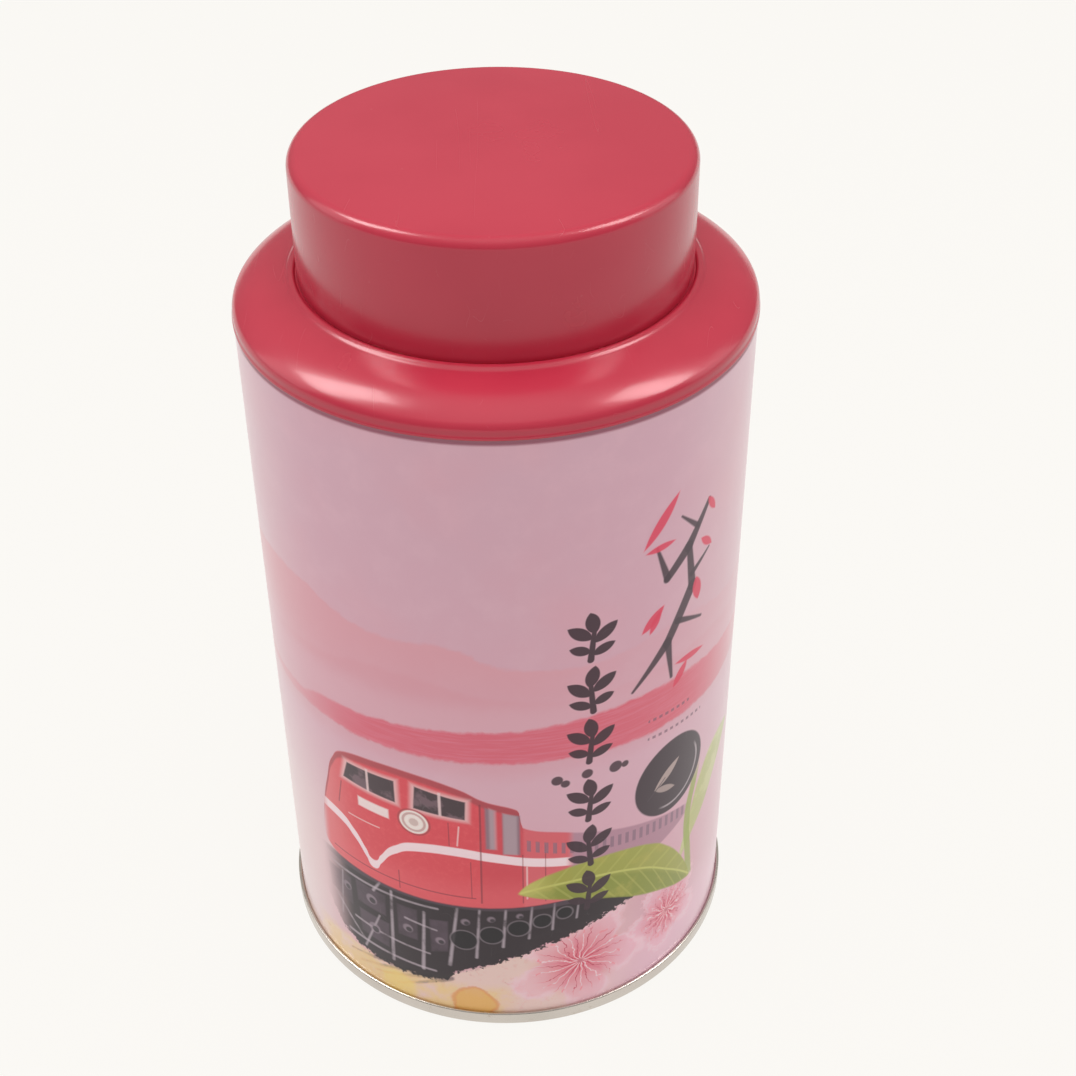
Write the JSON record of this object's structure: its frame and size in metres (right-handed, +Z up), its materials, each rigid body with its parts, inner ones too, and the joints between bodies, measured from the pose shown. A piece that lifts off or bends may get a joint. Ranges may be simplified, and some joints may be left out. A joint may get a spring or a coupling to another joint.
{
  "type": "tea tin",
  "caption": "Tall round tinplate tea caddy with crowned shoulder, slip-on cap over a plug lid, seamed base and a painted printed wall.",
  "frame": {"origin": "centre of the plane that the base seam stands on", "axes": "+Z up the tin's axis to the cap; -Y is the side that the main picture faces; the wall's lock seam is at +Y"},
  "size_m": [0.0844, 0.0844, 0.1542],
  "materials": {
    "printed_sheet": "satin print under clear varnish",
    "bare_tinplate": "bright tinplate",
    "red_lacquer": "semi-gloss lacquer",
    "seam_compound": "matt",
    "knob_metal": "turned"
  },
  "bodies": {
    "can": {"body_wall": "printed_sheet", "base_end": "bare_tinplate", "base_seam_compound": "seam_compound", "shoulder_ring": "red_lacquer", "shoulder_seam_compound": "seam_compound", "neck_ring": "bare_tinplate"},
    "inner_lid": {"inner_lid_pan": "bare_tinplate", "inner_lid_knob": "knob_metal", "knob_rivet": "knob_metal"},
    "cap": {"cap_shell": "red_lacquer"}
  },
  "joints": [
    {"name": "cap_lift", "type": "slide", "parent": "can", "child": "cap", "axis": [0, 0, 1], "range_m": [0, 0.05]},
    {"name": "inner_lid_lift", "type": "slide", "parent": "can", "child": "inner_lid", "axis": [0, 0, 1], "range_m": [0, 0.025]}
  ],
  "couplings": [
    {"joint": "inner_lid_lift", "follows": "cap_lift", "ratio": 0.5}
  ]
}
